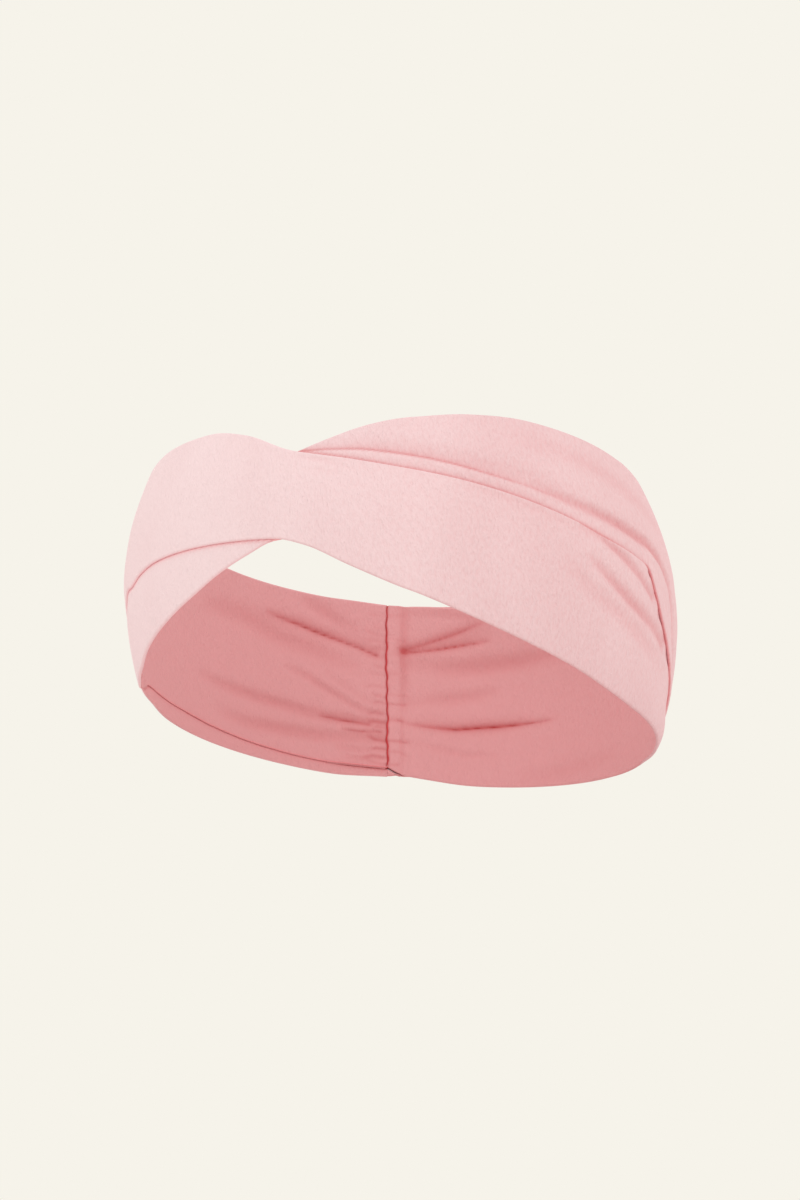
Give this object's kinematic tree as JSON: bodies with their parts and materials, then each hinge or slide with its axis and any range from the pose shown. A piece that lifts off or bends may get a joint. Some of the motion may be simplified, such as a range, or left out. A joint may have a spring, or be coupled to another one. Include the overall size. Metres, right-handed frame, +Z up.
{
  "type": "twist-front sports headband",
  "caption": "Wide stretch jersey headband whose two double-layer strands cross over at the front and are gathered into one seam at the back.",
  "frame": {"origin": "centre of the bounding box on the plane that the lower edge stands on", "axes": "+Z up through the head opening, -Y towards the front crossing, +Y towards the gathered back seam, +X towards the side where the rear strand lies on top"},
  "size_m": [0.1626, 0.195, 0.0709],
  "materials": {
    "face_jersey": "peached light pink jersey, matte with a soft sheen",
    "lining_jersey": "peached dusty rose jersey, matte",
    "edge_thread": "pink polyester overlock thread",
    "seam_thread": "deep rose polyester thread",
    "elastic_tape": "off-white covered rubber elastic"
  },
  "bodies": {
    "root": {"front_strand_face": "face_jersey", "front_strand_lining": "lining_jersey", "front_strand_lower_edge_stitching": "edge_thread", "front_strand_upper_edge_stitching": "edge_thread", "rear_strand_face": "face_jersey", "rear_strand_lining": "lining_jersey", "rear_strand_lower_edge_stitching": "edge_thread", "rear_strand_upper_edge_stitching": "edge_thread", "back_seam_stitching": "seam_thread", "back_gathering_elastic": "elastic_tape"}
  },
  "joints": []
}
